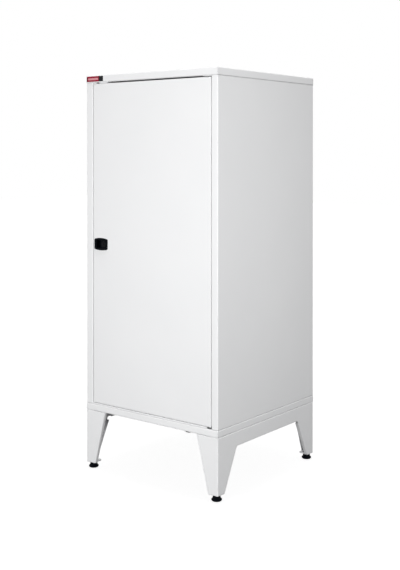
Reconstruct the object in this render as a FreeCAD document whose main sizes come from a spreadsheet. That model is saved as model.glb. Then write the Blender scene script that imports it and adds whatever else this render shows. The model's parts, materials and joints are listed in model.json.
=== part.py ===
import FreeCAD, Part
import math
import os
import Sketcher

# Single-door metal storage cabinet on two leg frames, in millimetres.
# The origin is on the floor under the middle of the cabinet, +X is to the right of a person
# who faces the door, the door faces -Y and +Z is up. The door is hinged on the right.

DIMENSIONS = {
    # Outside sizes
    "width": 500,
    "depth": 500,
    "foot_height": 17.6,
    "leg_height": 160,
    "tray_height": 20,
    "body_height": 976,
    "cap_height": 21.5,
    # Folded sheet of the body, the cap and the tray
    "sheet": 1,
    "bend": 2,
    "setback": 0.3,
    "pan_return": 25,
    # Side panels and back panel
    "lock_stile": 25.2,
    "hinge_stile": 22.4,
    "stile_return": 22,
    "stile_lip": 10,
    "stile_bend": 2.6,
    "rear_return": 20,
    "rear_bend": 1.5,
    "end_flange": 18,
    "seam": 0.6,
    "back_edge_gap": 0.5,
    # Slotted uprights, clips and shelves
    "upright_width": 30,
    "upright_depth": 12,
    "upright_sheet": 1.2,
    "upright_inset": 60,
    "upright_gap": 10,
    "slot_width": 12,
    "slot_height": 4,
    "slot_pitch": 60,
    "slot_end": 27.5,
    "clip_width": 10,
    "clip_sheet": 1.5,
    "clip_reach": 16,
    "clip_rise": 10,
    "clip_drop": 9,
    "clip_hook": 6,
    "clip_play": 0.2,
    "shelf_height": 25,
    "shelf_return": 15,
    "shelf_side_gap": 1.5,
    "shelf_front_inset": 38,
    "shelf_rear_gap": 4,
    # Door
    "lock_gap": 2.6,
    "hinge_gap": 1.7,
    "top_gap": 4.4,
    "bottom_gap": 5.2,
    "sill_height": 4.2,
    "sill_depth": 18,
    "sill_edge": 1,
    "door_depth": 20,
    "door_return": 18,
    "stiffener_width": 60,
    "stiffener_flange": 12,
    "stiffener_depth": 14,
    "stiffener_end": 30,
    # Pivot hinges of the door
    "pivot_inset": 8.5,
    "pivot_setback": 6.2,
    "pin_diameter": 6,
    "pin_reach": 12,
    "pin_head": 10,
    "pin_head_height": 2.5,
    "fit_gap": 0.05,
    "face_gap": 0.3,
    "bush_diameter": 9,
    "bush_collar": 10.6,
    "block_width": 16,
    "block_depth": 11,
    "block_height": 14,
    "hinge_plate_length": 30,
    "hinge_plate_sheet": 2,
    "hinge_plate_depth": 23,
    # Door stop with its rubber buffer
    "stop_inset": 28,
    "stop_length": 57,
    "stop_sheet": 4,
    "stop_drop": 24,
    "stop_notch_start": 10,
    "stop_notch_length": 14,
    "stop_notch_depth": 20,
    "buffer_head": 9,
    "buffer_height": 3,
    "buffer_stem": 4,
    "buffer_level": 14,
    # Lock housing, plug and cam
    "lock_inset": 32.5,
    "lock_level": 487.4,
    "lock_width": 54,
    "lock_tall": 37,
    "lock_bow": 3,
    "lock_corner": 5,
    "lock_bezel": 2.5,
    "lock_body_width": 45,
    "lock_body_tall": 29,
    "lock_body_depth": 15,
    "lock_wall": 2,
    "lock_side_rim": 9,
    "hinge_side_rim": 6,
    "recess_floor": 1,
    "cup_width": 18,
    "cup_depth": 12,
    "cup_draft": 2,
    "plug_offset": 10,
    "barrel_diameter": 20,
    "barrel_extra": 1,
    "plug_diameter": 14,
    "plug_head": 17,
    "plug_head_height": 1.2,
    "keyway_width": 1.6,
    "keyway_tall": 8,
    "keyway_depth": 5,
    "drive_square": 8,
    "cam_gap": 1,
    "cam_sheet": 2.5,
    "cam_width": 16,
    "cam_catch": 12,
    "cam_nut_flats": 10,
    "cam_nut_height": 4,
    "frame_width": 53,
    "frame_tall": 38,
    "frame_sheet": 1.2,
    # Bare name plate on the cap
    "plate_inset": 1,
    "plate_length": 67.5,
    "plate_tall": 16,
    "plate_sheet": 0.8,
    "plate_corner": 1.5,
    # Leg frames
    "leg_setback": 0.1,
    "leg_sheet": 2,
    "leg_bend": 2.4,
    "return_bend": 3,
    "web_bend": 1.8,
    "leg_seam_depth": 1.2,
    "leg_head_width": 75,
    "leg_foot_width": 34.5,
    "leg_head_depth": 91,
    "leg_foot_depth": 33,
    "rail_height": 42,
    "leg_return": 11,
    "leg_relief": 8,
    "leg_corner": 8,
    "leg_top_flange": 30,
    # Levelling feet
    "foot_inset": 15,
    "foot_plate_sheet": 5,
    "stud_diameter": 8,
    "stud_length": 44,
    "pad_diameter": 30,
    "pad_rim": 4.5,
    "neck_diameter": 21,
    "socket_floor": 6,
}

SHELF_COUNT = 3
EDGE_TOLERANCE = 0.001

doc = FreeCAD.newDocument("storage_cabinet")


class Size:
    """A length that carries its number and the sheet expression behind it."""

    def __init__(self, text, value):
        self.text = text
        self.value = value

    def __add__(self, other):
        other = as_size(other)
        return Size(f"({self.text} + {other.text})", self.value + other.value)

    def __radd__(self, other):
        return as_size(other) + self

    def __sub__(self, other):
        other = as_size(other)
        return Size(f"({self.text} - {other.text})", self.value - other.value)

    def __rsub__(self, other):
        return as_size(other) - self

    def __mul__(self, other):
        other = as_size(other)
        return Size(f"({self.text} * {other.text})", self.value * other.value)

    def __rmul__(self, other):
        return as_size(other) * self

    def __truediv__(self, other):
        other = as_size(other)
        return Size(f"({self.text} / {other.text})", self.value / other.value)

    def __neg__(self):
        return Size(f"(-{self.text})", -self.value)


def as_size(number):
    if isinstance(number, Size):
        return number
    return Size(f"({number})", number)


def root(size):
    return Size(f"sqrt({size.text})", math.sqrt(size.value))


def whole(size):
    return Size(f"floor({size.text})", math.floor(size.value))


class Dimensions:
    """The driving dimensions, one attribute for each named cell of the sheet."""

    def __init__(self, values):
        sheet = doc.addObject("Spreadsheet::Sheet", "Dims")
        for row, (alias, value) in enumerate(values.items(), start=1):
            sheet.set(f"A{row}", alias)
            sheet.set(f"B{row}", str(value))
            sheet.setAlias(f"B{row}", alias)
            setattr(self, alias, Size(f"Dims.{alias}", value))
        doc.recompute()


d = Dimensions(DIMENSIONS)


# Shared helpers for bodies, sketches and features

def bind(target, name, size):
    size = as_size(size)
    setattr(target, name, size.value)
    target.setExpression(name, size.text)


def place(target, x, y, z):
    for axis, size in (("x", x), ("y", y), ("z", z)):
        target.setExpression(f"Placement.Base.{axis}", as_size(size).text)


def new_body(label, x=0, y=0, z=0, tilt=None):
    body = doc.addObject("PartDesign::Body", label)
    body.Label = label
    if tilt is not None:
        body.Placement = FreeCAD.Placement(FreeCAD.Vector(), tilt)
    place(body, x, y, z)
    return body


def origin_feature(body, role):
    return next(item for item in body.Origin.OriginFeatures if item.Role == role)


def sketch_on(body, name, plane, lift=0):
    """An empty sketch on one of the body's own planes, lifted along the plane's normal."""
    sketch = body.newObject("Sketcher::SketchObject", name + "_sketch")
    sketch.AttachmentSupport = [(origin_feature(body, plane), "")]
    sketch.MapMode = "FlatFace"
    sketch.setExpression("AttachmentOffset.Base.z", as_size(lift).text)
    return sketch


def hold(sketch, kind, *where, size):
    index = sketch.addConstraint(Sketcher.Constraint(kind, *where, size.value))
    sketch.setExpression(f"Constraints[{index}]", size.text)


def outline(sketch, points):
    """A closed outline whose corners are each held by two bound coordinates."""
    points = [(as_size(a), as_size(b)) for a, b in points]
    first = sketch.GeometryCount
    count = len(points)
    spots = [FreeCAD.Vector(a.value, b.value, 0) for a, b in points]
    for number in range(count):
        line = Part.LineSegment(spots[number], spots[(number + 1) % count])
        sketch.addGeometry(line, False)
    for number in range(count):
        following = first + (number + 1) % count
        sketch.addConstraint(Sketcher.Constraint("Coincident", first + number, 2, following, 1))
    for number, (a, b) in enumerate(points):
        hold(sketch, "DistanceX", first + number, 1, size=a)
        hold(sketch, "DistanceY", first + number, 1, size=b)


def circle(sketch, x, y, diameter):
    x, y, radius = as_size(x), as_size(y), as_size(diameter) / 2
    middle = FreeCAD.Vector(x.value, y.value, 0)
    number = sketch.addGeometry(Part.Circle(middle, FreeCAD.Vector(0, 0, 1), radius.value), False)
    hold(sketch, "DistanceX", number, 3, size=x)
    hold(sketch, "DistanceY", number, 3, size=y)
    hold(sketch, "Radius", number, size=radius)


def bowed_outline(sketch, width, tall, bow):
    """A centred outline with straight sides; its upper and lower edges bow out in the middle."""
    half, side = width / 2, tall / 2 - bow
    radius = (half * half + bow * bow) / (2 * bow)
    lift = math.atan2((radius - bow).value, half.value)
    normal = FreeCAD.Vector(0, 0, 1)
    first = sketch.GeometryCount
    for way in (1, -1):
        start = FreeCAD.Vector(way * half.value, -way * side.value, 0)
        end = FreeCAD.Vector(way * half.value, way * side.value, 0)
        sketch.addGeometry(Part.LineSegment(start, end), False)
        middle = FreeCAD.Vector(0, way * (side + bow - radius).value, 0)
        turn = 0 if way > 0 else math.pi
        ring = Part.Circle(middle, normal, radius.value)
        sketch.addGeometry(Part.ArcOfCircle(ring, turn + lift, turn + math.pi - lift), False)
    for number in range(4):
        following = first + (number + 1) % 4
        sketch.addConstraint(Sketcher.Constraint("Coincident", first + number, 2, following, 1))
    for number, way in ((first, 1), (first + 2, -1)):
        hold(sketch, "DistanceX", number, 1, size=way * half)
        hold(sketch, "DistanceY", number, 1, size=-way * side)
        hold(sketch, "DistanceX", number, 2, size=way * half)
        hold(sketch, "DistanceY", number, 2, size=way * side)
        hold(sketch, "Radius", number + 1, size=radius)


def rectangle(left, right, low, high):
    return [(left, low), (right, low), (right, high), (left, high)]


def centred(width, height, x=0, y=0):
    return rectangle(x - width / 2, x + width / 2, y - height / 2, y + height / 2)


def hexagon(x, y, flats):
    corner = flats / root(as_size(3))
    turns = [(1, 0), (0.5, 0.5), (-0.5, 0.5), (-1, 0), (-0.5, -0.5), (0.5, -0.5)]
    return [(x + corner * a, y + flats * b) for a, b in turns]


def extrude(kind, body, name, sketch, length, back):
    feature = body.newObject(kind, name)
    feature.Profile = sketch
    bind(feature, "Length", length)
    feature.Reversed = back
    doc.recompute()
    return feature


def pad(body, name, plane, lift, points, length, back=False):
    """Material from a closed outline; back runs it against the plane's normal."""
    sketch = sketch_on(body, name, plane, lift)
    outline(sketch, points)
    return extrude("PartDesign::Pad", body, name, sketch, length, back)


def pad_round(body, name, plane, lift, x, y, diameter, length, back=False):
    sketch = sketch_on(body, name, plane, lift)
    circle(sketch, x, y, diameter)
    return extrude("PartDesign::Pad", body, name, sketch, length, back)


def cut(body, name, plane, lift, points, length, forward=False):
    """A pocket against the plane's normal, or along it when forward; it must remove material."""
    sketch = sketch_on(body, name, plane, lift)
    outline(sketch, points)
    return cut_with(body, name, sketch, length, forward)


def drill(body, name, plane, lift, spots, diameter, length, forward=False):
    sketch = sketch_on(body, name, plane, lift)
    for x, y in spots:
        circle(sketch, x, y, diameter)
    return cut_with(body, name, sketch, length, forward)


def cut_with(body, name, sketch, length, forward):
    before = body.Tip.Shape.Volume
    feature = extrude("PartDesign::Pocket", body, name, sketch, length, forward)
    if not feature.Shape.Volume < before:
        raise ValueError(f"{body.Label}: {name} removes nothing")
    return feature


def revolve(body, name, points):
    """A turned piece from a half profile of radius and height pairs about the body's Z axis."""
    sketch = sketch_on(body, name, "XZ_Plane")
    outline(sketch, points)
    feature = body.newObject("PartDesign::Revolution", name)
    feature.Profile = sketch
    feature.ReferenceAxis = (sketch, ["V_Axis"])
    feature.Angle = 360
    doc.recompute()
    return feature


def copies(body, name, features, mirrors=(), row=None):
    """Repeats features along a row of axis, pitch and count, then across mirror planes."""
    multi = body.newObject("PartDesign::MultiTransform", name)
    multi.Originals = features
    steps = []
    if row is not None:
        axis, pitch, count = row
        step = doc.addObject("PartDesign::LinearPattern", name + "_row")
        step.Direction = (origin_feature(body, axis), [""])
        bind(step, "Length", pitch * (count - 1))
        bind(step, "Occurrences", count)
        steps.append(step)
    for plane in mirrors:
        step = doc.addObject("PartDesign::Mirrored", name + "_mirror")
        step.MirrorPlane = (origin_feature(body, plane), [""])
        steps.append(step)
    multi.Transformations = steps
    body.Tip = multi
    doc.recompute()
    return multi


def edges_along(axis, **position):
    """A test for straight edges that run along axis through the given coordinates."""
    def chosen(edge):
        if edge.Curve.TypeId != "Part::GeomLine":
            return False
        direction = edge.tangentAt(edge.FirstParameter)
        if abs(abs(getattr(direction, axis)) - 1) > EDGE_TOLERANCE:
            return False
        middle = edge.CenterOfMass
        return all(
            abs(getattr(middle, key) - as_size(size).value) < EDGE_TOLERANCE
            for key, size in position.items()
        )
    return chosen


def level_edges(width, depth, *levels):
    """A test for the level outer edges of a box that is centred in plan."""
    def chosen(edge):
        middle = edge.CenterOfMass
        at_side = abs(abs(middle.x) - width.value / 2) < EDGE_TOLERANCE
        at_end = abs(abs(middle.y) - depth.value / 2) < EDGE_TOLERANCE
        at_level = any(abs(middle.z - as_size(level).value) < EDGE_TOLERANCE for level in levels)
        return at_level and (at_side or at_end)
    return chosen


def soften(body, name, radius, *tests, kind="PartDesign::Fillet"):
    """Rounds every edge of the body that meets one of the tests."""
    base = body.Tip
    names = [
        f"Edge{number}"
        for number, edge in enumerate(base.Shape.Edges, start=1)
        if any(test(edge) for test in tests)
    ]
    if not names:
        raise ValueError(f"{body.Label}: {name} finds no edge")
    feature = body.newObject(kind, name)
    feature.Base = (base, names)
    bind(feature, "Size" if kind == "PartDesign::Chamfer" else "Radius", radius)
    doc.recompute()
    return feature


def corners(x_values, y_values):
    return [(x, y) for x in x_values for y in y_values]


# Levels and lines that several pieces share

half_width = d.width / 2
half_depth = d.depth / 2
tray_level = d.foot_height + d.leg_height
floor_level = tray_level + d.tray_height
cap_level = floor_level + d.body_height
front_line = -half_depth + d.setback
rear_line = half_depth - d.setback
back_line = rear_line - d.sheet
panel_half = half_width - d.setback

door_left = -half_width + d.lock_stile + d.lock_gap
door_right = half_width - d.hinge_stile - d.hinge_gap
door_low = floor_level + d.bottom_gap
door_high = cap_level - d.top_gap
door_width = door_right - door_left
door_tall = door_high - door_low
pivot_x = door_right - d.pivot_inset
pivot_y = front_line + d.pivot_setback

lock_x = door_left + d.lock_inset
lock_z = floor_level + d.lock_level
barrel_length = d.stile_return + d.barrel_extra
cam_front = barrel_length + d.cam_gap
cam_reach = d.lock_inset + d.plug_offset + d.lock_gap + d.cam_catch

upright_face = panel_half - d.sheet - d.upright_depth
upright_y = half_depth - d.upright_inset
upright_low = floor_level + d.upright_gap
upright_tall = d.body_height - 2 * d.upright_gap
slot_count = whole((upright_tall - 2 * d.slot_end) / d.slot_pitch) + 1
shelf_slots = whole((slot_count + 2) / (SHELF_COUNT + 1))
first_shelf_slot = upright_low + d.slot_end + (shelf_slots - 1) * d.slot_pitch
shelf_pitch = shelf_slots * d.slot_pitch

leg_x = half_width - d.leg_setback
leg_y = half_depth - d.leg_setback
foot_x = half_width - d.foot_inset
foot_y = half_depth - d.foot_inset
leg_rise = d.leg_height - d.rail_height
leg_lean = d.leg_head_depth - d.leg_foot_depth
leg_return_thick = d.leg_sheet * root(leg_rise * leg_rise + leg_lean * leg_lean) / leg_rise
foot_plate_reach = d.leg_foot_depth - leg_return_thick - d.face_gap
pin_hole = d.pin_diameter + 2 * d.fit_gap


def folded_pan(body, width, depth, height, lip):
    """A sheet pan with its plate on top, edges turned down and lips turned in at the bottom."""
    inner_width = width - 2 * d.sheet
    inner_depth = depth - 2 * d.sheet
    pad(body, "block", "XY_Plane", 0, centred(width, depth), height)
    cut(body, "hollow", "XY_Plane", d.sheet, centred(inner_width, inner_depth), height - 2 * d.sheet, True)
    window = centred(width - 2 * lip, depth - 2 * lip)
    cut(body, "window", "XY_Plane", 0, window, d.sheet, True)
    soften(body, "bends", d.bend, level_edges(width, depth, 0, height))


# Cap and tray

def build_top_cap():
    body = new_body("top_cap", z=cap_level)
    folded_pan(body, d.width, d.depth, d.cap_height, d.pan_return)
    drill(body, "pin_hole", "XY_Plane", 0, [(pivot_x, pivot_y)], pin_hole, d.sheet, True)
    return body


def build_base_tray():
    body = new_body("base_tray", z=tray_level)
    folded_pan(body, d.width, d.depth, d.tray_height, d.pan_return)
    drill(body, "pin_hole", "XY_Plane", d.tray_height, [(pivot_x, pivot_y)], pin_hole, d.sheet)
    return body


# Side panels: the front stile is folded to a C, the rear edge is folded in over the back panel;
# the stile and the rear fold carry the cap, with a narrow seam above and below the outer sheet

def build_side_panel(label, side, stile):
    body = new_body(label, z=floor_level)
    stile_width = stile - d.setback
    stile_back = front_line + d.stile_return

    def inward(distance):
        return side * (panel_half - distance)

    profile = [
        (inward(stile_width - d.stile_lip), stile_back),
        (inward(stile_width), stile_back),
        (inward(stile_width), front_line),
        (inward(0), front_line),
        (inward(0), rear_line),
        (inward(d.rear_return), rear_line),
        (inward(d.rear_return), back_line),
        (inward(d.sheet), back_line),
        (inward(d.sheet), front_line + d.sheet),
        (inward(stile_width - d.sheet), front_line + d.sheet),
        (inward(stile_width - d.sheet), stile_back - d.sheet),
        (inward(stile_width - d.stile_lip), stile_back - d.sheet),
    ]
    pad(body, "folds", "XY_Plane", 0, profile, d.body_height)
    outer = [edges_along("z", x=x, y=y) for x, y in profile[1:5]]
    inner = [edges_along("z", x=x, y=y) for x, y in profile[7:11]]
    soften(body, "stile_bends", d.stile_bend, *outer[:3])
    soften(body, "inner_stile_bends", d.stile_bend - d.sheet, *inner[1:])
    soften(body, "rear_bend", d.rear_bend, outer[3])
    soften(body, "inner_rear_bend", d.rear_bend - d.sheet, inner[0])

    strip = rectangle(inward(0), inward(d.sheet), front_line + d.stile_bend, rear_line - d.rear_bend)
    cut(body, "bottom_seam", "XY_Plane", 0, strip, d.seam, True)
    cut(body, "top_seam", "XY_Plane", d.body_height, strip, d.seam)
    flange_end = rear_line - d.rear_return
    flange = rectangle(inward(d.sheet / 2), inward(d.end_flange), stile_back + d.stile_bend, flange_end)
    pad(body, "bottom_flange", "XY_Plane", d.seam, flange, d.sheet)
    pad(body, "top_flange", "XY_Plane", d.body_height - d.seam - d.sheet, flange, d.sheet)
    return body


# Back panel

def build_back_panel():
    body = new_body("back_panel", z=floor_level)
    wide = panel_half - d.rear_bend - d.back_edge_gap
    sheet_face = rectangle(-wide, wide, d.back_edge_gap, d.body_height - d.back_edge_gap)
    pad(body, "sheet_face", "XZ_Plane", -back_line, sheet_face, d.sheet)
    return body


# Slotted uprights, shelf clips and shelves

def build_upright(label, side, end):
    body = new_body(label, x=side * upright_face, y=end * upright_y, z=upright_low)
    foot = side * d.upright_depth
    wall = side * d.upright_sheet
    half = d.upright_width / 2
    inside = half - d.upright_sheet
    profile = [
        (foot, -half),
        (0, -half),
        (0, half),
        (foot, half),
        (foot, inside),
        (wall, inside),
        (wall, -inside),
        (foot, -inside),
    ]
    pad(body, "channel", "XY_Plane", 0, profile, upright_tall)
    bends = [edges_along("z", x=0, y=-half), edges_along("z", x=0, y=half)]
    soften(body, "bends", d.bend, *bends)
    slot = centred(d.slot_width, d.slot_height, y=d.slot_end)
    hole = cut(body, "slot", "YZ_Plane", 0, slot, d.upright_sheet, side > 0)
    copies(body, "slots", [hole], row=("Z_Axis", d.slot_pitch, slot_count))
    return body


def build_shelf_clips():
    body = new_body("shelf_clips", y=0, z=first_shelf_slot)
    face = upright_face
    tab = d.slot_height / 2 - d.clip_play
    behind = face + d.upright_sheet + d.clip_play
    profile = [
        (face - d.clip_reach, d.clip_rise),
        (face, d.clip_rise),
        (face, tab),
        (behind + d.clip_sheet, tab),
        (behind + d.clip_sheet, -d.clip_hook),
        (behind, -d.clip_hook),
        (behind, -tab),
        (face, -tab),
        (face, -d.clip_drop),
        (face - d.clip_sheet, -d.clip_drop),
        (face - d.clip_sheet, d.clip_rise - d.clip_sheet),
        (face - d.clip_reach, d.clip_rise - d.clip_sheet),
    ]
    start = upright_y - d.clip_width / 2
    clip = pad(body, "clip", "XZ_Plane", -start, profile, d.clip_width, True)
    row = ("Z_Axis", shelf_pitch, SHELF_COUNT)
    copies(body, "all_clips", [clip], ["YZ_Plane", "XZ_Plane"], row)
    return body


def build_shelf(label, number):
    front = -half_depth + d.shelf_front_inset
    rear = back_line - d.sheet - d.shelf_rear_gap
    level = first_shelf_slot + d.clip_rise + number * shelf_pitch
    body = new_body(label, y=(front + rear) / 2, z=level)
    folded_pan(body, 2 * (upright_face - d.shelf_side_gap), rear - front, d.shelf_height, d.shelf_return)
    return body


# Door: a pan whose plate faces forward, with a stiffener and pivot blocks inside

FACING_FORWARD = FreeCAD.Rotation(FreeCAD.Vector(1, 0, 0), 90)


def build_door_panel():
    middle_z = (door_low + door_high) / 2
    body = new_body("door_panel", (door_left + door_right) / 2, front_line + d.door_depth, middle_z,
                    FACING_FORWARD)
    folded_pan(body, door_width, door_tall, d.door_depth, d.door_return)
    opening = centred(d.lock_body_width, d.lock_body_tall, -door_width / 2 + d.lock_inset, lock_z - middle_z)
    cut(body, "lock_opening", "XY_Plane", d.door_depth, opening, d.sheet)
    bush = [(door_width / 2 - d.pivot_inset, d.door_depth - d.pivot_setback)]
    drill(body, "bush_holes", "XZ_Plane", door_tall / 2, bush, d.bush_diameter, door_tall)
    return body


def build_door_stiffener():
    body = new_body("door_stiffener", (door_left + door_right) / 2, front_line + d.sheet,
                    door_low + d.stiffener_end)
    half = d.stiffener_width / 2
    wall = half - d.stiffener_flange
    deep = d.stiffener_depth
    right = [
        (half, 0),
        (half, d.sheet),
        (wall + d.sheet, d.sheet),
        (wall + d.sheet, deep),
    ]
    inner = [
        (wall, deep - d.sheet),
        (wall, 0),
    ]
    profile = right + [(-x, y) for x, y in reversed(right)]
    profile += [(-x, y) for x, y in reversed(inner)] + inner
    pad(body, "hat", "XY_Plane", 0, profile, door_tall - 2 * d.stiffener_end)
    return body


def build_pivot_block(label, level):
    body = new_body(label, door_right - d.sheet - d.block_width / 2, front_line + d.sheet, level)
    half = d.block_width / 2
    pad(body, "block", "XY_Plane", 0, rectangle(-half, half, 0, d.block_depth), d.block_height)
    bush = [(d.sheet + half - d.pivot_inset, d.pivot_setback - d.sheet)]
    drill(body, "bush_hole", "XY_Plane", d.block_height, bush, d.bush_diameter, d.block_height)
    return body


# Sill: a flat bar on the tray under the door, cut short before the lower pivot

def build_door_sill():
    body = new_body("door_sill", z=floor_level)
    left = -half_width + d.lock_stile + d.face_gap
    right = pivot_x - d.bush_collar / 2 - d.face_gap
    bar = rectangle(left, right, front_line, front_line + d.sill_depth)
    pad(body, "bar", "XY_Plane", 0, bar, d.sill_height)
    soften(body, "front_edge", d.sill_edge, edges_along("x", y=front_line, z=d.sill_height))
    return body


# Hinge pins and bushes

def build_bush(label, level, collar, upward):
    """A plastic bush: the collar lies outside the door, the sleeve goes through its edge and block."""
    body = new_body(label, pivot_x, pivot_y, level)
    way = 1 if upward else -1
    bore = d.pin_diameter / 2 + d.fit_gap
    sleeve = d.sheet + d.block_height
    profile = [
        (bore, -way * sleeve),
        (d.bush_diameter / 2, -way * sleeve),
        (d.bush_diameter / 2, 0),
        (d.bush_collar / 2, 0),
        (d.bush_collar / 2, way * collar),
        (bore, way * collar),
    ]
    revolve(body, "bush", profile)
    return body


def build_pin(label, level, reach, upward):
    """A headed pin: the head lies behind the sheet at level, the stem goes through into the door."""
    body = new_body(label, pivot_x, pivot_y, level)
    way = 1 if upward else -1
    profile = [
        (0, -way * d.pin_head_height),
        (d.pin_head / 2, -way * d.pin_head_height),
        (d.pin_head / 2, 0),
        (d.pin_diameter / 2, 0),
        (d.pin_diameter / 2, way * reach),
        (0, way * reach),
    ]
    revolve(body, "pin", profile)
    return body


def build_upper_hinge_plate():
    body = new_body("upper_hinge_plate", z=cap_level - d.hinge_plate_sheet)
    right = half_width - d.hinge_stile - d.face_gap
    front = front_line + d.sheet
    plate = rectangle(right - d.hinge_plate_length, right, front, front + d.hinge_plate_depth)
    pad(body, "plate", "XY_Plane", 0, plate, d.hinge_plate_sheet)
    thick = d.hinge_plate_sheet
    drill(body, "pin_hole", "XY_Plane", thick, [(pivot_x, pivot_y)], pin_hole, thick)
    return body


# Door stop bracket under the cap with a rubber buffer

def build_door_stop():
    body = new_body("door_stop_bracket", x=-half_width + d.stop_inset, z=cap_level)
    front = front_line + d.sheet
    leg = front_line + d.door_depth + d.face_gap + d.buffer_height
    profile = [
        (front, 0),
        (leg + d.stop_sheet, 0),
        (leg + d.stop_sheet, -d.stop_drop),
        (leg, -d.stop_drop),
        (leg, -d.stop_sheet),
        (front, -d.stop_sheet),
    ]
    pad(body, "angle", "YZ_Plane", 0, profile, d.stop_length)
    soften(body, "bend", d.bend, edges_along("x", y=leg + d.stop_sheet, z=0))
    notch = rectangle(d.stop_notch_start, d.stop_notch_start + d.stop_notch_length, front,
                      front + d.stop_notch_depth)
    cut(body, "notch", "XY_Plane", 0, notch, d.stop_sheet)
    spot = [(d.stop_length / 2, -d.buffer_level)]
    drill(body, "buffer_hole", "XZ_Plane", -leg, spot, d.buffer_stem, d.stop_sheet)
    return body


def build_door_buffer():
    leg = front_line + d.door_depth + d.face_gap + d.buffer_height
    body = new_body("door_buffer", -half_width + d.stop_inset + d.stop_length / 2, leg,
                    cap_level - d.buffer_level, FACING_FORWARD)
    stem = d.buffer_stem / 2
    profile = [
        (0, -d.stop_sheet),
        (stem, -d.stop_sheet),
        (stem, 0),
        (d.buffer_head / 2, 0),
        (d.buffer_head / 2, d.buffer_height),
        (0, d.buffer_height),
    ]
    revolve(body, "buffer", profile)
    return body


# Lock: moulded housing with a finger cup, key plug, cam and fixings

def build_lock_housing():
    body = new_body("lock_housing", lock_x, front_line, lock_z)
    bezel = sketch_on(body, "bezel", "XZ_Plane")
    bowed_outline(bezel, d.lock_width, d.lock_tall, d.lock_bow)
    extrude("PartDesign::Pad", body, "bezel", bezel, d.lock_bezel, False)
    corner_edges = [
        edges_along("y", x=side * d.lock_width / 2, z=end * (d.lock_tall / 2 - d.lock_bow))
        for side, end in corners((-1, 1), (-1, 1))
    ]
    soften(body, "bezel_corners", d.lock_corner, *corner_edges)

    def at_front(edge):
        return abs(edge.CenterOfMass.y + d.lock_bezel.value) < EDGE_TOLERANCE

    soften(body, "bezel_slope", d.lock_bezel / 2, at_front, kind="PartDesign::Chamfer")
    pad(body, "box", "XZ_Plane", 0, centred(d.lock_body_width, d.lock_body_tall), d.lock_body_depth, True)
    pad_round(body, "barrel", "XZ_Plane", 0, d.plug_offset, 0, d.barrel_diameter, barrel_length, True)

    recess_tall = d.lock_body_tall - 2 * d.lock_wall
    left = -d.lock_width / 2 + d.lock_side_rim
    right = d.lock_width / 2 - d.hinge_side_rim
    recess = rectangle(left, right, -recess_tall / 2, recess_tall / 2)
    cut(body, "recess", "XZ_Plane", d.lock_bezel, recess, d.lock_bezel + d.recess_floor)
    cut_finger_cup(body, -d.lock_body_width / 2 + d.lock_wall, recess_tall)
    bore = d.plug_diameter + 2 * d.fit_gap
    drill(body, "plug_bore", "XZ_Plane", -d.recess_floor, [(d.plug_offset, 0)], bore, barrel_length)
    return body


def cut_finger_cup(body, left, tall):
    """The finger cup narrows towards its floor and reaches under the lock-side rim."""
    mouth = sketch_on(body, "cup_mouth", "XZ_Plane", -d.recess_floor)
    outline(mouth, rectangle(left, left + d.cup_width, -tall / 2, tall / 2))
    floor = sketch_on(body, "cup_floor", "XZ_Plane", -d.cup_depth)
    end = tall / 2 - d.cup_draft
    outline(floor, rectangle(left + d.cup_draft / 2, left + d.cup_width - 2 * d.cup_draft, -end, end))
    before = body.Tip.Shape.Volume
    cup = body.newObject("PartDesign::SubtractiveLoft", "finger_cup")
    cup.Profile = mouth
    cup.Sections = [floor]
    doc.recompute()
    if not cup.Shape.Volume < before:
        raise ValueError("the finger cup removes nothing")


def build_lock_frame():
    """A steel frame behind the door sheet that holds the lock housing."""
    body = new_body("lock_retaining_frame", lock_x, front_line + d.sheet, lock_z)
    pad(body, "plate", "XZ_Plane", 0, centred(d.frame_width, d.frame_tall), d.frame_sheet, True)
    cut(body, "opening", "XZ_Plane", 0, centred(d.lock_body_width, d.lock_body_tall), d.frame_sheet)
    return body


def build_lock_plug():
    body = new_body("lock_plug", lock_x + d.plug_offset, front_line, lock_z)
    head_back = d.recess_floor - d.face_gap
    pad_round(body, "head", "XZ_Plane", -head_back, 0, 0, d.plug_head, d.plug_head_height)
    head_front = d.plug_head_height - head_back
    stem_end = cam_front
    pad_round(body, "stem", "XZ_Plane", -head_back, 0, 0, d.plug_diameter, stem_end - head_back, True)
    square = centred(d.drive_square, d.drive_square)
    pad(body, "drive", "XZ_Plane", -stem_end, square, d.cam_sheet, True)
    keyway = centred(d.keyway_width, d.keyway_tall)
    cut(body, "keyway", "XZ_Plane", head_front, keyway, d.keyway_depth)
    return body


def build_lock_cam():
    """The cam hangs down at rest and turns behind the lock-side stile."""
    body = new_body("lock_cam", lock_x + d.plug_offset, front_line + cam_front, lock_z)
    half = d.cam_width / 2
    tip = half * 3 / 4
    blade = [
        (half, half),
        (-half, half),
        (-half, -half),
        (-tip, -cam_reach),
        (tip, -cam_reach),
        (half, -half),
    ]
    pad(body, "blade", "XZ_Plane", 0, blade, d.cam_sheet, True)
    rounded = [
        edges_along("y", x=-half, z=half),
        edges_along("y", x=half, z=half),
        edges_along("y", x=-tip, z=-cam_reach),
        edges_along("y", x=tip, z=-cam_reach),
    ]
    soften(body, "rounding", tip / 2, *rounded)
    cut(body, "drive_hole", "XZ_Plane", 0, centred(d.drive_square, d.drive_square), d.cam_sheet)
    return body


def build_cam_nut():
    body = new_body("cam_nut", lock_x + d.plug_offset, front_line + cam_front + d.cam_sheet, lock_z)
    pad(body, "nut", "XZ_Plane", 0, hexagon(as_size(0), as_size(0), d.cam_nut_flats), d.cam_nut_height, True)
    return body


# Bare name plate on the cap's front edge

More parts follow.
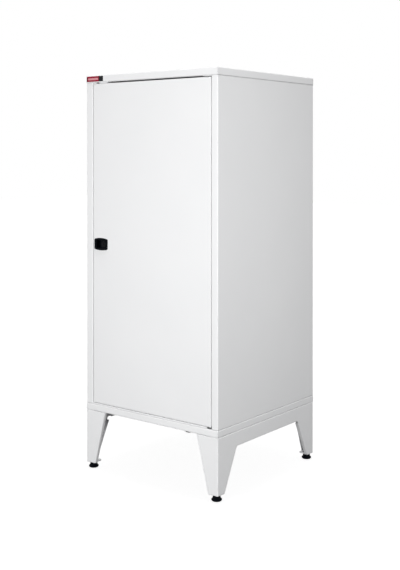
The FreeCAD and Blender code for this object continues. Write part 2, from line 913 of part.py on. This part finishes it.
def build_name_plate():
    body = new_body("name_plate", -half_width + d.plate_inset + d.plate_length / 2, -half_depth,
                    cap_level + d.cap_height / 2)
    pad(body, "plate", "XZ_Plane", 0, centred(d.plate_length, d.plate_tall), d.plate_sheet)
    rounded = [
        edges_along("y", x=side * d.plate_length / 2, z=end * d.plate_tall / 2)
        for side, end in corners((-1, 1), (-1, 1))
    ]
    soften(body, "plate_corners", d.plate_corner, *rounded)
    return body


# Leg frames: tapered legs and a rail folded from one sheet, with stiffening returns

def build_leg_frame(label, side):
    body = new_body(label, z=d.foot_height)
    tall = d.leg_height
    outside = side * leg_x
    inward = side > 0
    rail = leg_rise
    knee = leg_y - d.leg_head_depth
    foot = leg_y - d.leg_foot_depth

    web = [
        (-leg_y, 0),
        (-foot, 0),
        (-knee, rail),
        (knee, rail),
        (foot, 0),
        (leg_y, 0),
        (leg_y, tall),
        (-leg_y, tall),
    ]
    pad(body, "web", "YZ_Plane", outside, web, d.leg_sheet, inward)
    knees = [edges_along("x", y=-knee, z=rail), edges_along("x", y=knee, z=rail)]
    soften(body, "rail_corners", d.leg_corner, *knees)

    foot_x_edge = outside - side * d.leg_foot_width
    head_x_edge = outside - side * d.leg_head_width
    face = [(outside, 0), (foot_x_edge, 0), (head_x_edge, tall), (outside, tall)]
    front = pad(body, "front_face", "XZ_Plane", leg_y, face, d.leg_sheet, True)

    taper = d.leg_head_width - d.leg_foot_width
    thick = side * d.leg_sheet * root(tall * tall + taper * taper) / tall
    strip = [(foot_x_edge, 0), (head_x_edge, tall), (head_x_edge + thick, tall), (foot_x_edge + thick, 0)]
    face_return = pad(body, "face_return", "XZ_Plane", leg_y, strip, d.leg_return, True)

    part = (rail - d.leg_relief) / rail
    thick = leg_return_thick
    top_y = -foot + leg_lean * part
    strip = [(-foot, 0), (top_y, rail * part), (top_y - thick, rail * part), (-foot - thick, 0)]
    leg_return = pad(body, "leg_return", "YZ_Plane", outside, strip, d.leg_return, inward)
    copies(body, "rear_leg", [front, face_return, leg_return], ["XZ_Plane"])

    span = knee - d.leg_relief
    lip = rectangle(-span, span, rail, rail + d.leg_sheet)
    pad(body, "rail_return", "YZ_Plane", outside, lip, d.leg_return, inward)
    flange = rectangle(outside, outside - side * d.leg_top_flange, -leg_y, leg_y)
    pad(body, "top_flange", "XY_Plane", tall - d.leg_sheet, flange, d.leg_sheet)
    bends = [
        edges_along("z", x=outside, y=-leg_y),
        edges_along("z", x=outside, y=leg_y),
        edges_along("y", x=outside, z=tall),
    ]
    soften(body, "bends", d.leg_bend, *bends)

    def along_face_return(edge):
        middle = edge.CenterOfMass
        on_face = abs(abs(middle.y) - leg_y.value) < EDGE_TOLERANCE
        return on_face and abs(middle.x - ((foot_x_edge + head_x_edge) / 2).value) < EDGE_TOLERANCE

    def along_leg_return(edge):
        middle = edge.CenterOfMass
        on_web = abs(middle.x - outside.value) < EDGE_TOLERANCE
        return on_web and foot.value > abs(middle.y) > knee.value and middle.z < rail.value

    soften(body, "face_return_bends", d.return_bend, along_face_return)
    soften(body, "leg_return_bends", d.web_bend, along_leg_return)
    seam = rectangle(outside - side * d.leg_bend, head_x_edge, tall - d.seam, tall)
    cut(body, "front_seam", "XZ_Plane", leg_y, seam, d.leg_seam_depth)
    cut(body, "rear_seam", "XZ_Plane", -leg_y, seam, d.leg_seam_depth, True)
    return body


# Levelling feet: a tapped plate in each leg, a stud that turns in it, a pad under the stud

def build_foot_plates():
    body = new_body("foot_plates", z=d.foot_height)
    low_x = leg_x - foot_plate_reach
    low_y = leg_y - foot_plate_reach
    plate = rectangle(low_x, leg_x - d.leg_sheet, low_y, leg_y - d.leg_sheet)
    thick = d.foot_plate_sheet
    sheet = pad(body, "plate", "XY_Plane", 0, plate, thick)
    bore = d.stud_diameter + 2 * d.fit_gap
    hole = drill(body, "tapped_hole", "XY_Plane", thick, [(foot_x, foot_y)], bore, thick)
    copies(body, "all_plates", [sheet, hole], ["YZ_Plane", "XZ_Plane"])
    return body


def build_foot_pad(label, side, end):
    body = new_body(label, side * foot_x, end * foot_y)
    socket = d.stud_diameter / 2 + d.fit_gap
    profile = [
        (0, 0),
        (d.pad_diameter / 2, 0),
        (d.pad_diameter / 2, d.pad_rim),
        (d.neck_diameter / 2, d.pad_rim),
        (d.neck_diameter / 2, d.foot_height - d.face_gap),
        (socket, d.foot_height - d.face_gap),
        (socket, d.socket_floor),
        (0, d.socket_floor),
    ]
    revolve(body, "pad", profile)
    return body


def build_foot_stud(label, side, end):
    body = new_body(label, side * foot_x, end * foot_y, d.socket_floor + d.face_gap)
    pad_round(body, "stud", "XY_Plane", 0, 0, 0, d.stud_diameter, d.stud_length)
    return body


def build_all():
    sleeve_top = door_high - d.sheet - d.block_height
    upper_collar = d.top_gap - d.hinge_plate_sheet - d.face_gap
    upper_reach = d.sheet + d.top_gap + d.pin_reach
    lower_reach = d.sheet + d.bottom_gap + d.pin_reach
    pieces = [
        build_top_cap(),
        build_base_tray(),
        build_side_panel("left_side_panel", -1, d.lock_stile),
        build_side_panel("right_side_panel", 1, d.hinge_stile),
        build_back_panel(),
        build_door_sill(),
        build_shelf_clips(),
        build_door_panel(),
        build_door_stiffener(),
        build_pivot_block("upper_pivot_block", sleeve_top),
        build_pivot_block("lower_pivot_block", door_low + d.sheet),
        build_bush("upper_hinge_bush", door_high, upper_collar, True),
        build_bush("lower_hinge_bush", door_low, d.bottom_gap - d.face_gap, False),
        build_pin("upper_hinge_pin", cap_level + d.sheet, upper_reach, False),
        build_pin("lower_hinge_pin", floor_level - d.sheet, lower_reach, True),
        build_upper_hinge_plate(),
        build_door_stop(),
        build_door_buffer(),
        build_lock_housing(),
        build_lock_frame(),
        build_lock_plug(),
        build_lock_cam(),
        build_cam_nut(),
        build_name_plate(),
        build_leg_frame("left_leg_frame", -1),
        build_leg_frame("right_leg_frame", 1),
        build_foot_plates(),
    ]
    for number, level in enumerate(("lower", "middle", "upper")[:SHELF_COUNT]):
        pieces.append(build_shelf(f"{level}_shelf", number))
    for side_name, side in (("left", -1), ("right", 1)):
        for end_name, end in (("front", -1), ("rear", 1)):
            corner = f"{end_name}_{side_name}"
            pieces.append(build_upright(f"{corner}_upright", side, end))
            pieces.append(build_foot_pad(f"{corner}_foot_pad", side, end))
            pieces.append(build_foot_stud(f"{corner}_foot_stud", side, end))
    return pieces


def check_and_write(pieces):
    doc.recompute()
    for item in doc.Objects:
        if "Invalid" in item.State or "Error" in item.State:
            raise ValueError(f"{item.Label} did not build: {item.State}")
    os.makedirs("parts", exist_ok=True)
    for piece in pieces:
        if piece.Shape.isNull() or not piece.Shape.isValid():
            raise ValueError(f"{piece.Label} has no sound shape")
        piece.Shape.exportStep(f"parts/{piece.Label}.step")


check_and_write(build_all())
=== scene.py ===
import json
import math

import bmesh
import bpy
from mathutils import Matrix, Vector


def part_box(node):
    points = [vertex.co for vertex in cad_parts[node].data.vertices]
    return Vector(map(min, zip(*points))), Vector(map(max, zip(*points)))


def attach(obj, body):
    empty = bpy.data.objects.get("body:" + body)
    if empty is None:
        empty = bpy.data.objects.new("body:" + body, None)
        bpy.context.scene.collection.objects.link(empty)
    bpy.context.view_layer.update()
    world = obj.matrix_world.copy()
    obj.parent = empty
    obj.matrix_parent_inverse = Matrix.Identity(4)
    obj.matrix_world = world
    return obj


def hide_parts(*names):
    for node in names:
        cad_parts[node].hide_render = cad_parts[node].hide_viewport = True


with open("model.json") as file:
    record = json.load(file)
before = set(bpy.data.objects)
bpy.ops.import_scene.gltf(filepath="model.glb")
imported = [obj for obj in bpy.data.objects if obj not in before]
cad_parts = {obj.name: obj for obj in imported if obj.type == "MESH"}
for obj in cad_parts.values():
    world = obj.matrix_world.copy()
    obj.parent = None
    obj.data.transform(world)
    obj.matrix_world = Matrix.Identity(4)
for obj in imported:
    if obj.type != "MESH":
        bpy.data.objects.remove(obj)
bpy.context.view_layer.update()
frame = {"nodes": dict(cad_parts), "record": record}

# Materials, fine detail and studio for the storage cabinet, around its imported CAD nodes.
# Lengths are in metres, apart from the profiles of turned pieces and the thread, which are in millimetres.

MM = 0.001

# The view, from a camera fit to the photo, in metres and degrees
CAMERA_SPOT = (1.8170, -2.3413, 0.9525)
CAMERA_TURN = 37.94
CAMERA_TILT = 0.308
CAMERA_LENS = 60.398
CAMERA_SHIFT = (0.00088, -0.21825)

# The lamps: name, place, the point that each faces, side length in metres and power in watts
LAMPS = (
    ("high softbox", (0.9, -0.9, 8.0), (0.0, 0.0, 0.7), 1.6, 370.0),
    ("corner softbox", (2.1, -2.1, 1.9), (0.1, -0.1, 0.7), 0.8, 35.5),
    ("front softbox", (0.1, -2.25, 0.65), (0.0, -0.25, 0.75), 1.0, 23.6),
    ("side softbox", (1.45, -0.33, 0.77), (0.25, 0.0, 0.75), 0.8, 4.9),
    ("back softbox", (-2.2, 2.6, 1.4), (0.0, 0.0, 0.7), 1.2, 115.0),
)
WORLD_LIGHT = 0.15
WHITE = (1.0, 1.0, 1.0, 1.0)

# The floor, a little under the feet; it glows less near the cabinet than far from it
FLOOR_REACH = 14.0
FLOOR_DROP = 0.3 * MM
FLOOR_COLOUR = (0.6, 0.6, 0.6, 1.0)
NEAR_REACH = 0.4
NEAR_GLOW = 0.91
FAR_REACH = 1.6
FAR_GLOW = 1.0

# The four feet and the hinge bushes, by the names of their nodes
FEET = ("front_left", "front_right", "rear_left", "rear_right")
HINGE_BUSHES = ("upper_hinge_bush", "lower_hinge_bush")


# Helpers for materials

# Most of a noise lies between these values
NOISE_LOW = 0.3
NOISE_HIGH = 0.7

# How well a rounded edge's direction matches the flat face's, where the edge starts to show and shows in full
EDGE_START = 0.995
EDGE_FULL = 0.8


def new_material(name):
    """A new material with its node tree and its main shader."""
    material = bpy.data.materials.new(name)
    material.use_nodes = True
    return material, material.node_tree, material.node_tree.nodes["Principled BSDF"]


def add_node(tree, kind, **settings):
    item = tree.nodes.new(kind)
    for key, value in settings.items():
        setattr(item, key, value)
    return item


def position(tree):
    return add_node(tree, "ShaderNodeTexCoord").outputs["Object"]


def position_parts(tree):
    """The position's X, Y and Z as outputs of one node."""
    parts = add_node(tree, "ShaderNodeSeparateXYZ")
    tree.links.new(position(tree), parts.inputs["Vector"])
    return parts.outputs


def noise(tree, scale, detail=2.0, roughness=0.5):
    item = add_node(tree, "ShaderNodeTexNoise")
    item.inputs["Scale"].default_value = scale
    item.inputs["Detail"].default_value = detail
    item.inputs["Roughness"].default_value = roughness
    tree.links.new(position(tree), item.inputs["Vector"])
    return item.outputs["Fac"]


def ranged(tree, value, low, high, start=0.0, end=1.0):
    """value from low to high becomes a value from start to end."""
    item = add_node(tree, "ShaderNodeMapRange")
    item.inputs["From Min"].default_value = low
    item.inputs["From Max"].default_value = high
    item.inputs["To Min"].default_value = start
    item.inputs["To Max"].default_value = end
    tree.links.new(value, item.inputs["Value"])
    return item.outputs["Result"]


def patches(tree, scale, detail=2.0, start=0.0, end=1.0):
    """Soft random patches, with values from start to end."""
    return ranged(tree, noise(tree, scale, detail), NOISE_LOW, NOISE_HIGH, start, end)


def calculate(tree, operation, first, second):
    """first and second are each a number or a socket."""
    item = add_node(tree, "ShaderNodeMath", operation=operation)
    for socket, value in zip(item.inputs, (first, second)):
        if isinstance(value, (int, float)):
            socket.default_value = value
        else:
            tree.links.new(value, socket)
    return item.outputs[0]


def between(tree, value, low, high):
    """1 where value lies between low and high, else 0."""
    above = calculate(tree, "GREATER_THAN", value, low)
    return calculate(tree, "MULTIPLY", above, calculate(tree, "LESS_THAN", value, high))


def blend_colours(tree, factor, first, second):
    """first where factor is 0, second where it is 1; each a colour or a socket."""
    item = add_node(tree, "ShaderNodeMix", data_type="RGBA")
    sockets = [socket for socket in item.inputs if socket.type == "RGBA"]
    for socket, value in zip(sockets, (first, second)):
        if isinstance(value, tuple):
            socket.default_value = (*value, 1.0)
        else:
            tree.links.new(value, socket)
    tree.links.new(factor, item.inputs["Factor"])
    return next(socket for socket in item.outputs if socket.type == "RGBA")


def soft_edges(tree, radius):
    """The surface's direction, with its edges rounded off to radius."""
    item = add_node(tree, "ShaderNodeBevel", samples=8)
    item.inputs["Radius"].default_value = radius
    return item.outputs["Normal"]


def edge_mask(tree, radius):
    """1 along edges within radius, 0 on flat faces."""
    flat = add_node(tree, "ShaderNodeNewGeometry")
    match = add_node(tree, "ShaderNodeVectorMath", operation="DOT_PRODUCT")
    tree.links.new(soft_edges(tree, radius), match.inputs[0])
    tree.links.new(flat.outputs["Normal"], match.inputs[1])
    return ranged(tree, match.outputs["Value"], EDGE_START, EDGE_FULL)


def set_colour(tree, shader, colour):
    tree.links.new(colour, shader.inputs["Base Color"])


def set_roughness(tree, shader, scale, low, high):
    """Roughness from low to high, in soft patches."""
    tree.links.new(patches(tree, scale, start=low, end=high), shader.inputs["Roughness"])


def set_bump(tree, shader, scale, strength, distance, surface=None):
    """A fine random skin, on the shape's own surface or on another surface direction."""
    item = add_node(tree, "ShaderNodeBump")
    if surface:
        tree.links.new(surface, item.inputs["Normal"])
    item.inputs["Strength"].default_value = strength
    item.inputs["Distance"].default_value = distance
    tree.links.new(noise(tree, scale), item.inputs["Height"])
    tree.links.new(item.outputs["Normal"], shader.inputs["Normal"])


# Materials

def powder_coat():
    """White powder coat: orange-peel skin, faint clouding, thin greyer coat on edges, scuffs low down."""
    dull_white = (0.862, 0.866, 0.874)
    clear_white = (0.88, 0.883, 0.89)
    thin_coat = (0.74, 0.745, 0.75)
    thin_coat_share = 0.35
    thin_coat_width = 1.6 * MM
    scuff_colour = (0.62, 0.62, 0.61)
    scuff_share = 0.2
    scuff_top = 0.16
    scuff_full = 0.02
    bend_radius = 3.5 * MM

    material, tree, shader = new_material("white powder coat")
    field = blend_colours(tree, patches(tree, scale=5.0, detail=3.0), dull_white, clear_white)

    broken = ranged(tree, noise(tree, scale=60.0), low=0.35, high=NOISE_HIGH)
    edges = calculate(tree, "MULTIPLY", edge_mask(tree, thin_coat_width), broken)
    worn = blend_colours(tree, ranged(tree, edges, 0.0, 1.0, end=thin_coat_share), field, thin_coat)

    near_floor = ranged(tree, position_parts(tree)["Z"], scuff_top, scuff_full)
    marks = ranged(tree, noise(tree, scale=120.0, detail=5.0, roughness=0.7), low=0.6, high=0.75)
    scuffs = calculate(tree, "MULTIPLY", near_floor, marks)
    scuffed = blend_colours(tree, ranged(tree, scuffs, 0.0, 1.0, end=scuff_share), worn, scuff_colour)

    set_colour(tree, shader, scuffed)
    set_roughness(tree, shader, scale=14.0, low=0.36, high=0.46)
    bends = soft_edges(tree, bend_radius)
    set_bump(tree, shader, scale=700.0, strength=0.06, distance=0.4 * MM, surface=bends)
    return material


def zinc_steel():
    """Zinc-plated steel with a patchy sheen."""
    dark_zinc = (0.5, 0.51, 0.53)
    light_zinc = (0.66, 0.67, 0.69)
    material, tree, shader = new_material("zinc steel")
    sheen = patches(tree, scale=90.0, detail=3.0)
    set_colour(tree, shader, blend_colours(tree, sheen, dark_zinc, light_zinc))
    shader.inputs["Metallic"].default_value = 1.0
    set_roughness(tree, shader, scale=220.0, low=0.28, high=0.45)
    set_bump(tree, shader, scale=500.0, strength=0.1, distance=0.2 * MM)
    return material


def black_plastic(name, dark, light, roughness, grain):
    """Moulded black: a fine grain, edges rubbed a little lighter."""
    rubbed_width = 0.8 * MM
    spread = 0.06
    material, tree, shader = new_material(name)
    broken = ranged(tree, noise(tree, scale=300.0), low=NOISE_LOW, high=0.8)
    rubbed = calculate(tree, "MULTIPLY", edge_mask(tree, rubbed_width), broken)
    set_colour(tree, shader, blend_colours(tree, rubbed, dark, light))
    set_roughness(tree, shader, scale=150.0, low=roughness - spread, high=roughness + spread)
    shader.inputs["Specular IOR Level"].default_value = 0.05
    set_bump(tree, shader, scale=grain, strength=0.15, distance=0.3 * MM)
    return material


def name_plate_paint():
    """A bare plate: a dark red field with one pale stripe, a thin dark end and a wide black end."""
    deep_red = (0.25, 0.005, 0.024)
    bright_red = (0.31, 0.008, 0.032)
    pale_stripe = (0.68, 0.3, 0.33)
    dark_red = (0.03, 0.002, 0.005)
    near_black = (0.005, 0.006, 0.007)
    # The bands' edges: along the plate from its left or right end, and up or down from its middle
    dark_end = 3 * MM
    stripe_start = 6 * MM
    stripe_stop = 20 * MM
    black_end = 17 * MM
    stripe_bottom = -3.4 * MM
    stripe_top = 2.6 * MM

    material, tree, shader = new_material("bare red plate")
    low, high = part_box("name_plate")
    length = high[0] - low[0]
    parts = position_parts(tree)
    along = calculate(tree, "SUBTRACT", parts["X"], low[0])
    level = calculate(tree, "SUBTRACT", parts["Z"], (low[2] + high[2]) / 2)

    red = blend_colours(tree, patches(tree, scale=80.0, detail=3.0), deep_red, bright_red)
    in_length = between(tree, along, stripe_start, length - stripe_stop)
    in_stripe = calculate(tree, "MULTIPLY", in_length, between(tree, level, stripe_bottom, stripe_top))
    striped = blend_colours(tree, in_stripe, red, pale_stripe)
    in_dark_end = calculate(tree, "LESS_THAN", along, dark_end)
    dark_ended = blend_colours(tree, in_dark_end, striped, dark_red)
    in_black_end = calculate(tree, "GREATER_THAN", along, length - black_end)

    set_colour(tree, shader, blend_colours(tree, in_black_end, dark_ended, near_black))
    set_roughness(tree, shader, scale=200.0, low=0.3, high=0.4)
    shader.inputs["Specular IOR Level"].default_value = 0.2
    set_bump(tree, shader, scale=900.0, strength=0.05, distance=0.2 * MM)
    return material


def make_materials():
    """One material for each of the record's slots."""
    moulding = black_plastic("black moulding", (0.0012, 0.002, 0.0034), (0.008, 0.009, 0.011),
                             roughness=0.5, grain=1500.0)
    lock_metal = black_plastic("black lock metal", (0.006, 0.0065, 0.008), (0.04, 0.041, 0.044),
                               roughness=0.3, grain=900.0)
    rubber = black_plastic("black rubber", (0.008, 0.008, 0.008), (0.02, 0.02, 0.02),
                           roughness=0.7, grain=1200.0)
    return {
        "white_paint": powder_coat(),
        "zinc_steel": zinc_steel(),
        "black_plastic": moulding,
        "black_lock_metal": lock_metal,
        "black_rubber": rubber,
        "red_plate": name_plate_paint(),
    }


def paint_nodes():
    """Each node gets its slot's material; the hinge bushes get a rubbed, greyer nylon."""
    nylon = black_plastic("rubbed black nylon", (0.12, 0.125, 0.13), (0.2, 0.205, 0.21),
                          roughness=0.6, grain=900.0)
    for piece in frame["record"]["subparts"]:
        name = piece["node"]
        material = nylon if name in HINGE_BUSHES else materials[piece["material_slot"]]
        for slot in frame["nodes"][name].material_slots:
            slot.material = material


# Helpers for turned and threaded pieces

# Edges that turn more than this many degrees look sharp
SHARP_ANGLE = 35

# Points nearer to each other than this become one
WELD_REACH = 0.001 * MM


def add_piece(name, shape, slot, body):
    """shape becomes a piece with that slot's material, which moves with body."""
    mesh = bpy.data.meshes.new(name)
    shape.to_mesh(mesh)
    shape.free()
    mesh.shade_smooth()
    mesh.set_sharp_from_angle(angle=math.radians(SHARP_ANGLE))
    mesh.materials.append(materials[slot])
    piece = bpy.data.objects.new(name, mesh)
    bpy.context.scene.collection.objects.link(piece)
    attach(piece, body)
    return piece


def ring_point(radius, turn, level):
    """turn is a share of a full turn; lengths are in millimetres."""
    angle = math.tau * turn
    return Vector((radius * math.cos(angle), radius * math.sin(angle), level)) * MM


def lathe(shape, profile, count, place):
    """A closed turned form. profile has (radius, level) points from the axis below to the axis above."""
    rows = []
    for radius, level in profile:
        steps = count if radius else 1
        spots = [place @ ring_point(radius, step / count, level) for step in range(steps)]
        rows.append([shape.verts.new(spot) for spot in spots])
    for lower, upper in zip(rows, rows[1:]):
        for step in range(count):
            following = (step + 1) % count
            corners = [
                lower[step % len(lower)],
                lower[following % len(lower)],
                upper[following % len(upper)],
                upper[step % len(upper)],
            ]
            shape.faces.new(dict.fromkeys(corners))


def thread(shape, crest, root, pitch, chamfer, length, count, place):
    """A rod with a right-hand thread. Its ends taper to a radius that is chamfer less than the root's."""
    # One turn's rows: how far along the pitch each one starts, and its radius
    profile = ((0.0, crest), (0.125, crest), (0.4375, root), (0.6875, root))
    rows = len(profile)
    turns = math.ceil(length / pitch) + 1
    grid = {}
    for row in range(-rows, rows * turns):
        along, radius = profile[row % rows]
        for step in range(count):
            level = min(max(pitch * (row // rows + along + step / count), 0.0), length)
            from_end = min(level, length - level)
            slim = min(radius, root - chamfer + from_end)
            grid[row, step] = shape.verts.new(place @ ring_point(slim, step / count, level))
    for row, step in grid:
        following = (row, step + 1) if step + 1 < count else (row + rows, 0)
        above = (following[0] + 1, following[1])
        if (row + 1, step) in grid and above in grid:
            shape.faces.new((grid[row, step], grid[following], grid[above], grid[row + 1, step]))
    bmesh.ops.remove_doubles(shape, verts=shape.verts[:], dist=WELD_REACH)
    bmesh.ops.dissolve_degenerate(shape, edges=shape.edges[:], dist=WELD_REACH)
    open_edges = [edge for edge in shape.edges if edge.is_boundary]
    bmesh.ops.holes_fill(shape, edges=open_edges, sides=0)


# Levelling feet

# The turned pad, from under its middle out over the rim, up the neck and down into the stud's socket
PAD_PROFILE = (
    (0, 0), (10.8, 0), (12.0, 0.15), (13.1, 0.7), (14.0, 1.6), (14.65, 2.7), (15.0, 3.9), (15.0, 4.9),
    (14.75, 5.6), (14.1, 6.2), (13.1, 6.9), (12.2, 8.0), (11.5, 9.5), (11.0, 11.2), (10.7, 13.4),
    (10.5, 15.5), (10.35, 16.5), (10.0, 17.1), (9.5, 17.3),
    (4.4, 17.3), (4.05, 17.0), (4.05, 6), (0, 6),
)
PAD_STEPS = 64

# The stud's M8 thread, in millimetres
THREAD_CREST = 4.0
THREAD_ROOT = 3.35
THREAD_PITCH = 1.25
THREAD_CHAMFER = 0.3
THREAD_STEPS = 24


def build_feet():
    """A turned pad and a threaded stud in the place of each foot's plain ones."""
    for name in FEET:
        low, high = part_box(f"{name}_foot_pad")
        middle = ((low[0] + high[0]) / 2, (low[1] + high[1]) / 2)
        shape = bmesh.new()
        lathe(shape, PAD_PROFILE, PAD_STEPS, Matrix.Translation((*middle, low[2])))
        pad = add_piece(f"{name}_turned_pad", shape, "black_plastic", f"{name}_foot")
        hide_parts(f"{name}_foot_pad")

        low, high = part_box(f"{name}_foot_stud")
        length = (high[2] - low[2]) / MM
        place = Matrix.Translation((*middle, low[2]))
        shape = bmesh.new()
        thread(shape, THREAD_CREST, THREAD_ROOT, THREAD_PITCH, THREAD_CHAMFER, length, THREAD_STEPS, place)
        stud = add_piece(f"{name}_threaded_stud", shape, "zinc_steel", f"{name}_stud")
        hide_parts(f"{name}_foot_stud")


# Rivets of the back

RIVET_HEAD = ((0, 0), (3.4, 0), (3.1, 0.12), (2.5, 0.22), (1.6, 0.27), (1.3, 0.27), (1.1, 0.16), (0, 0.16))
RIVET_STEPS = 24
RIVET_ROWS = 6
RIVET_SIDE_INSET = 10 * MM
RIVET_END_INSET = 30 * MM


def build_back_rivets():
    """Two columns of flat rivets hold the back panel inside the rear folds of the side panels."""
    low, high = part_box("right_side_panel")
    column = high[0] - RIVET_SIDE_INSET
    lowest = low[2] + RIVET_END_INSET
    run = high[2] - low[2] - 2 * RIVET_END_INSET
    facing_back = Matrix.Rotation(math.radians(-90), 4, "X")
    shape = bmesh.new()
    for row in range(RIVET_ROWS):
        level = lowest + run * row / (RIVET_ROWS - 1)
        for x in (-column, column):
            lathe(shape, RIVET_HEAD, RIVET_STEPS, Matrix.Translation((x, high[1], level)) @ facing_back)
    add_piece("back_rivets", shape, "white_paint", "cabinet")


# Bolts of the leg frames

# The washer, the head that sits on it and the nut on the other side
WASHER = ((0, 0), (6, 0), (6.2, 0.2), (6.2, 1.0), (6, 1.2), (0, 1.2))
WASHER_STEPS = 32
BOLT_HEAD = ((0, 1.2), (5.1, 1.2), (5.77, 1.7), (5.77, 4.6), (5.1, 5.2), (3.6, 5.2), (3.2, 5.0), (0, 5.0))
NUT = ((0, 0), (5.1, 0), (5.77, 0.5), (5.77, 4.5), (5.1, 5), (3, 5), (3, 6.6), (2.6, 7), (0, 7))
HEX_STEPS = 6
BOLT_COLUMNS = (-235 * MM, 235 * MM)
BOLT_ROWS = (-180 * MM, -60 * MM, 60 * MM, 180 * MM)
LEG_SHEET = 2 * MM
TRAY_SHEET = 1 * MM


def build_leg_bolts():
    """Hex bolts under the leg frames' top flanges, with washers; their nuts sit inside the tray's folds."""
    flange_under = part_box("right_leg_frame")[1][2] - LEG_SHEET
    fold_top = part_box("base_tray")[0][2] + TRAY_SHEET
    facing_down = Matrix.Rotation(math.radians(180), 4, "X")
    shape = bmesh.new()
    for x in BOLT_COLUMNS:
        for y in BOLT_ROWS:
            under = Matrix.Translation((x, y, flange_under)) @ facing_down
            lathe(shape, WASHER, WASHER_STEPS, under)
            lathe(shape, BOLT_HEAD, HEX_STEPS, under)
            lathe(shape, NUT, HEX_STEPS, Matrix.Translation((x, y, fold_top)))
    add_piece("leg_bolts", shape, "zinc_steel", "cabinet")


# Floor, light and camera

def white_to_camera(tree):
    """1 for rays from the camera, from a gloss and through glass, 0 for the rays that carry light."""
    rays = add_node(tree, "ShaderNodeLightPath")
    mirrored = calculate(tree, "MAXIMUM", rays.outputs["Is Glossy Ray"], rays.outputs["Is Transmission Ray"])
    return calculate(tree, "MAXIMUM", rays.outputs["Is Camera Ray"], mirrored)


def floor_paint():
    material, tree, shader = new_material("pale floor")
    shader.inputs["Base Color"].default_value = FLOOR_COLOUR
    shader.inputs["Roughness"].default_value = 0.9
    shader.inputs["Specular IOR Level"].default_value = 0.0
    shader.inputs["Emission Color"].default_value = WHITE
    away = add_node(tree, "ShaderNodeVectorMath", operation="LENGTH")
    tree.links.new(position(tree), away.inputs[0])
    glow = ranged(tree, away.outputs["Value"], NEAR_REACH, FAR_REACH, NEAR_GLOW, FAR_GLOW)
    shown = calculate(tree, "MULTIPLY", glow, white_to_camera(tree))
    tree.links.new(shown, shader.inputs["Emission Strength"])
    return material


def build_floor():
    """A pale floor, which shows white and keeps a soft shadow."""
    mesh = bpy.data.meshes.new("floor")
    reach = FLOOR_REACH
    spots = [(-reach, -reach, 0), (reach, -reach, 0), (reach, reach, 0), (-reach, reach, 0)]
    mesh.from_pydata(spots, [], [(0, 1, 2, 3)])
    mesh.materials.append(floor_paint())
    floor = bpy.data.objects.new("floor", mesh)
    floor.location.z = -FLOOR_DROP
    bpy.context.scene.collection.objects.link(floor)
    return floor


def build_world():
    """A weak light from all around, and plain white where the camera or a gloss sees it."""
    world = bpy.data.worlds.new("white studio")
    bpy.context.scene.world = world
    world.use_nodes = True
    tree = world.node_tree
    soft = tree.nodes["Background"]
    soft.inputs["Color"].default_value = WHITE
    soft.inputs["Strength"].default_value = WORLD_LIGHT
    white = add_node(tree, "ShaderNodeBackground")
    white.inputs["Color"].default_value = WHITE
    white.inputs["Strength"].default_value = 1.0
    choice = add_node(tree, "ShaderNodeMixShader")
    tree.links.new(white_to_camera(tree), choice.inputs["Fac"])
    tree.links.new(soft.outputs["Background"], choice.inputs[1])
    tree.links.new(white.outputs["Background"], choice.inputs[2])
    tree.links.new(choice.outputs["Shader"], tree.nodes["World Output"].inputs["Surface"])


def add_softbox(name, spot, target, size, power):
    """A square lamp at spot, turned to target, which neither the camera nor a gloss shows."""
    lamp = bpy.data.lights.new(name, "AREA")
    lamp.size = size
    lamp.energy = power
    thing = bpy.data.objects.new(name, lamp)
    thing.location = spot
    way = Vector(target) - Vector(spot)
    thing.rotation_euler = way.to_track_quat("-Z", "Y").to_euler()
    thing.visible_camera = False
    thing.visible_glossy = False
    bpy.context.scene.collection.objects.link(thing)
    return thing


def keep_off(lamp, thing):
    """The lamp lights everything but thing."""
    group = bpy.data.collections.new(f"{lamp.name} skips")
    group.objects.link(thing)
    group.collection_objects[0].light_linking.link_state = "EXCLUDE"
    lamp.light_linking.receiver_collection = group


def build_lights(floor):
    """A high lamp, one off the front corner, weaker ones on the front and the hinge side, one behind.

    Only the world lights the floor, so that little light comes up from it.
    """
    build_world()
    for name, spot, target, size, power in LAMPS:
        keep_off(add_softbox(name, spot, target, size, power), floor)


def build_camera():
    """The photo's view."""
    data = bpy.data.cameras.new("photo view")
    data.lens = CAMERA_LENS
    data.shift_x, data.shift_y = CAMERA_SHIFT
    camera = bpy.data.objects.new("photo view", data)
    camera.location = CAMERA_SPOT
    camera.rotation_euler = (math.radians(90 - CAMERA_TILT), 0.0, math.radians(CAMERA_TURN))
    bpy.context.scene.collection.objects.link(camera)
    bpy.context.scene.camera = camera


materials = make_materials()
paint_nodes()
build_feet()
build_back_rivets()
build_leg_bolts()
build_lights(build_floor())
build_camera()
bpy.context.scene.view_settings.view_transform = "Standard"
